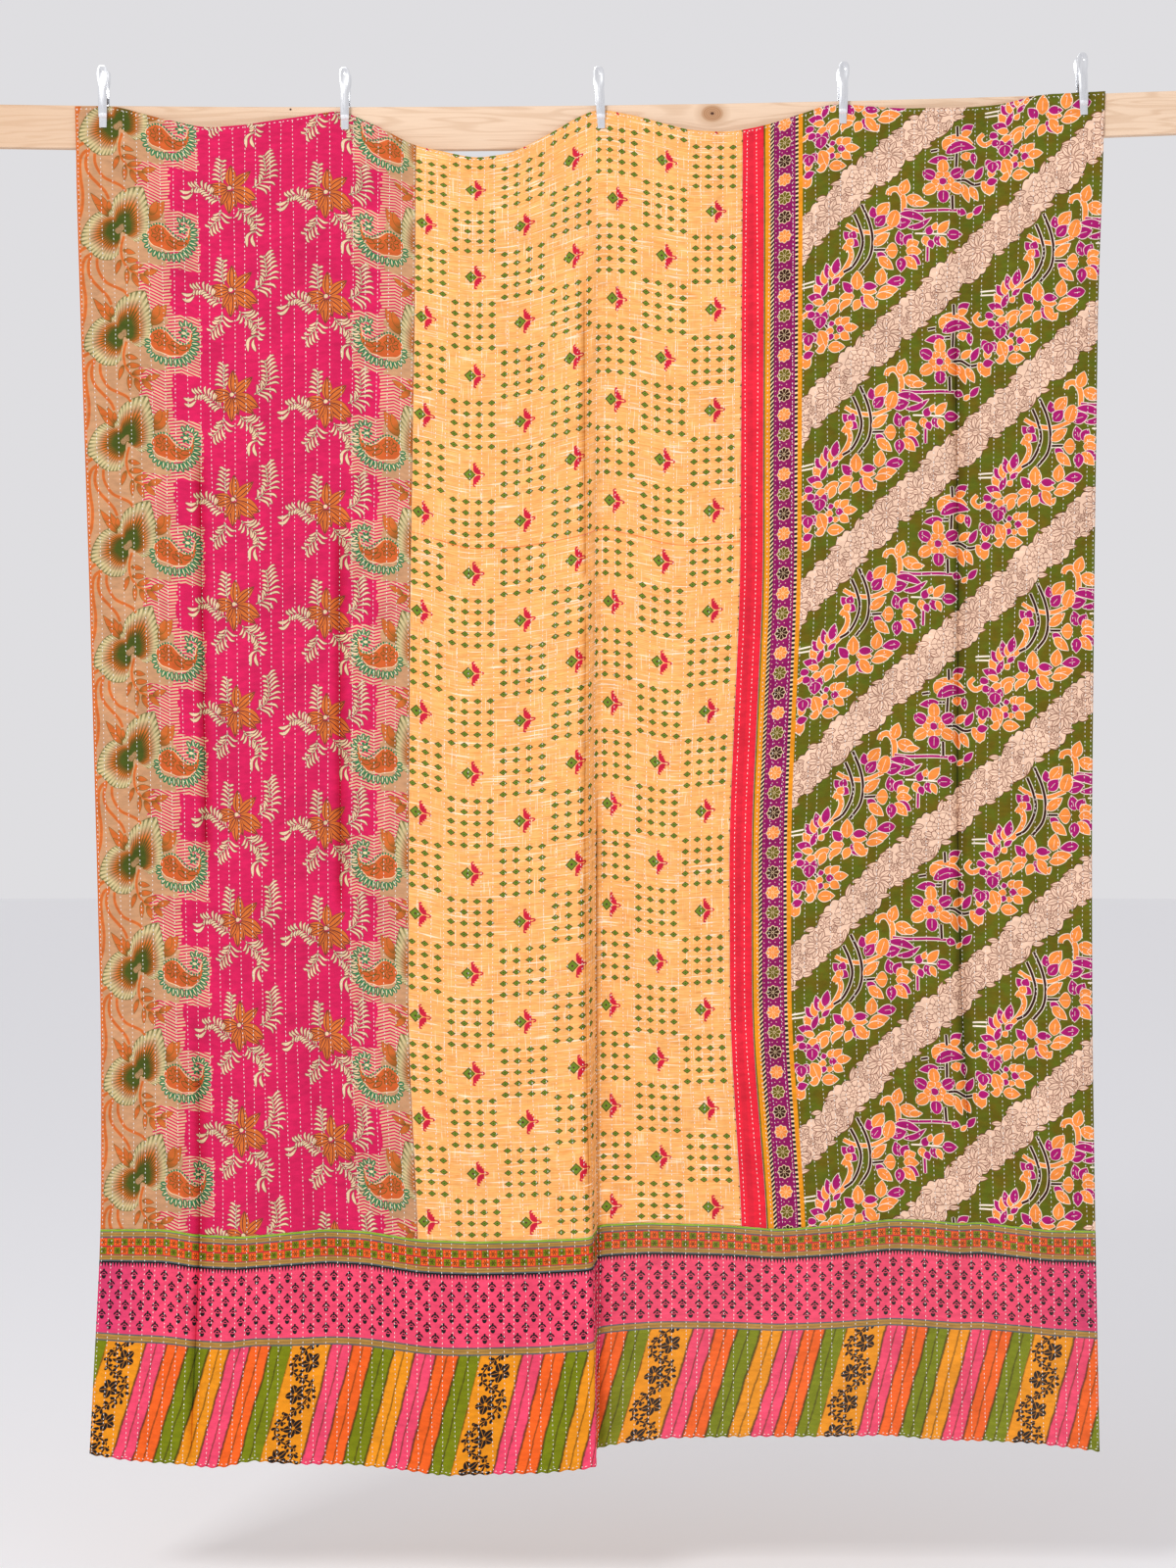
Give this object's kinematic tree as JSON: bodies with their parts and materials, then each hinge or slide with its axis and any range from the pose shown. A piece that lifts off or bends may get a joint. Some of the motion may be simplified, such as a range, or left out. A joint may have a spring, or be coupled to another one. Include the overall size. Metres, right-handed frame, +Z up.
{
  "type": "kantha quilt hung from a pine rail",
  "caption": "Patchwork kantha quilt with close rows of running stitch, hung by its top edge in soft folds from a plain pine rail with sprung steel clips.",
  "frame": {"origin": "the middle of the rail's back face", "axes": "+Z up, +Y from the quilt's face to the rail's back, +X to the right of someone who looks at the quilt's face"},
  "size_m": [2, 0.0892, 2.3206],
  "materials": {
    "pine": "planed, unfinished pine",
    "paisley_cotton": "printed cotton, pink field with tan paisley edges",
    "dotted_cotton": "printed cotton, yellow-orange with green dots",
    "red_cotton": "plain red cotton",
    "floral_cotton": "printed cotton, olive with flowers and pale bands",
    "border_cotton": "printed cotton, pink field, checks and slanted stripes",
    "stamped_steel": "bright plated stamped steel",
    "spring_steel": "spring steel"
  },
  "bodies": {
    "root": {"rail": "pine", "paisley_panel": "paisley_cotton", "dotted_panel": "dotted_cotton", "red_strip": "red_cotton", "floral_panel": "floral_cotton", "border_panel": "border_cotton", "clip_1_front_arm": "stamped_steel", "clip_1_back_arm": "stamped_steel", "clip_1_spring": "spring_steel", "clip_2_front_arm": "stamped_steel", "clip_2_back_arm": "stamped_steel", "clip_2_spring": "spring_steel", "clip_3_front_arm": "stamped_steel", "clip_3_back_arm": "stamped_steel", "clip_3_spring": "spring_steel", "clip_4_front_arm": "stamped_steel", "clip_4_back_arm": "stamped_steel", "clip_4_spring": "spring_steel", "clip_5_front_arm": "stamped_steel", "clip_5_back_arm": "stamped_steel", "clip_5_spring": "spring_steel"}
  },
  "joints": []
}
